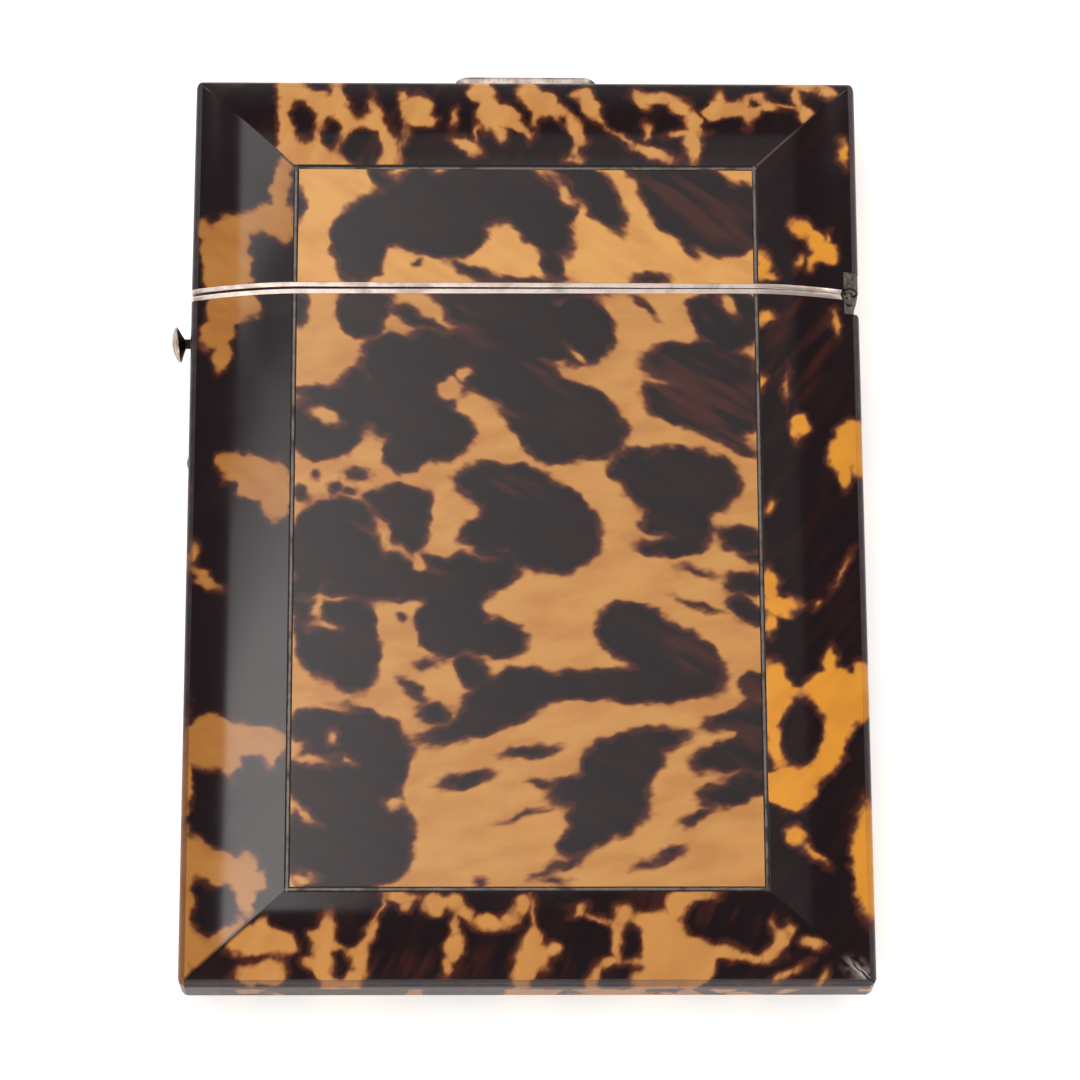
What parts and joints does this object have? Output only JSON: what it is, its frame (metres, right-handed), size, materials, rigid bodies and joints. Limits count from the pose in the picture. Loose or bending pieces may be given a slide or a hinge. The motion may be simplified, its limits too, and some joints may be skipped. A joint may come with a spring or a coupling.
{
  "type": "card case",
  "caption": "Flat upright pocket case for visiting cards with bowed, mitred tortoiseshell faces, a side-hinged lid and a push-button catch.",
  "frame": {"origin": "middle of the flat back panel, on its outer face", "axes": "+X across the front to the hinge side, +Y up to the lid, +Z out of the front face; the case lies on its back"},
  "size_m": [0.0773, 0.1058, 0.0103],
  "materials": {
    "tortoiseshell": "polished, mottled dark brown and amber",
    "carcass_wood": "plain, unvarnished inside",
    "stringing": "tarnished white metal",
    "white_metal": "worn satin, slightly warm",
    "dark_metal": "dull, browned with age",
    "spring_steel": "blued grey",
    "brass": "aged",
    "silk": "ribbed silk, slightly faded"
  },
  "bodies": {
    "case_body": {"body_front_board": "carcass_wood", "body_back_board": "carcass_wood", "body_left_board": "carcass_wood", "body_right_board": "carcass_wood", "body_bottom_board": "carcass_wood", "body_front_panel": "tortoiseshell", "body_front_left": "tortoiseshell", "body_front_right": "tortoiseshell", "body_front_bottom": "tortoiseshell", "body_back_panel": "tortoiseshell", "body_back_left": "tortoiseshell", "body_back_right": "tortoiseshell", "body_back_bottom": "tortoiseshell", "body_left_strip": "tortoiseshell", "body_right_strip": "tortoiseshell", "body_bottom_strip": "tortoiseshell", "body_front_stringing": "stringing", "body_back_stringing": "stringing", "body_rim": "white_metal", "liner_front": "silk", "liner_back": "silk", "liner_left": "silk", "liner_right": "silk", "liner_bottom": "silk", "hinge_body_leaf": "dark_metal", "hinge_pin": "spring_steel", "hinge_body_rivets": "brass", "button_bush": "dark_metal", "catch_foot": "spring_steel", "catch_rivet": "dark_metal"},
    "lid": {"lid_front_board": "carcass_wood", "lid_back_board": "carcass_wood", "lid_left_board": "carcass_wood", "lid_right_board": "carcass_wood", "lid_top_board": "carcass_wood", "lid_front_panel": "tortoiseshell", "lid_front_left": "tortoiseshell", "lid_front_right": "tortoiseshell", "lid_front_top": "tortoiseshell", "lid_back_panel": "tortoiseshell", "lid_back_left": "tortoiseshell", "lid_back_right": "tortoiseshell", "lid_back_top": "tortoiseshell", "lid_left_strip": "tortoiseshell", "lid_right_strip": "tortoiseshell", "lid_top_strip": "tortoiseshell", "lid_front_stringing": "stringing", "lid_back_stringing": "stringing", "lid_rim": "white_metal", "lid_front_lining": "silk", "lid_back_lining": "silk", "hinge_lid_leaf": "dark_metal", "hinge_lid_rivets": "brass", "keeper": "brass", "keeper_pins": "spring_steel", "top_plate": "white_metal"},
    "push_button": {"push_button": "dark_metal", "button_washer": "spring_steel"},
    "catch": {"catch_arm": "spring_steel"}
  },
  "joints": [
    {"name": "lid_hinge", "type": "hinge", "parent": "case_body", "child": "lid", "pos_m": [0.03645, 0.0264, 0.00515], "axis": [0, 0, -1], "range_deg": [-0.2, 105]},
    {"name": "button_press", "type": "slide", "parent": "case_body", "child": "push_button", "axis": [1, 0, 0], "range_m": [0, 0.00055], "stiffness_N_per_m": 800},
    {"name": "catch_flex", "type": "hinge", "parent": "case_body", "child": "catch", "pos_m": [-0.03475, 0.0095, 0.00515], "axis": [0, 0, -1], "range_deg": [0, 2.7]}
  ],
  "couplings": [
    {"joint": "catch_flex", "follows": "button_press", "rad_per_m": 83.4}
  ]
}
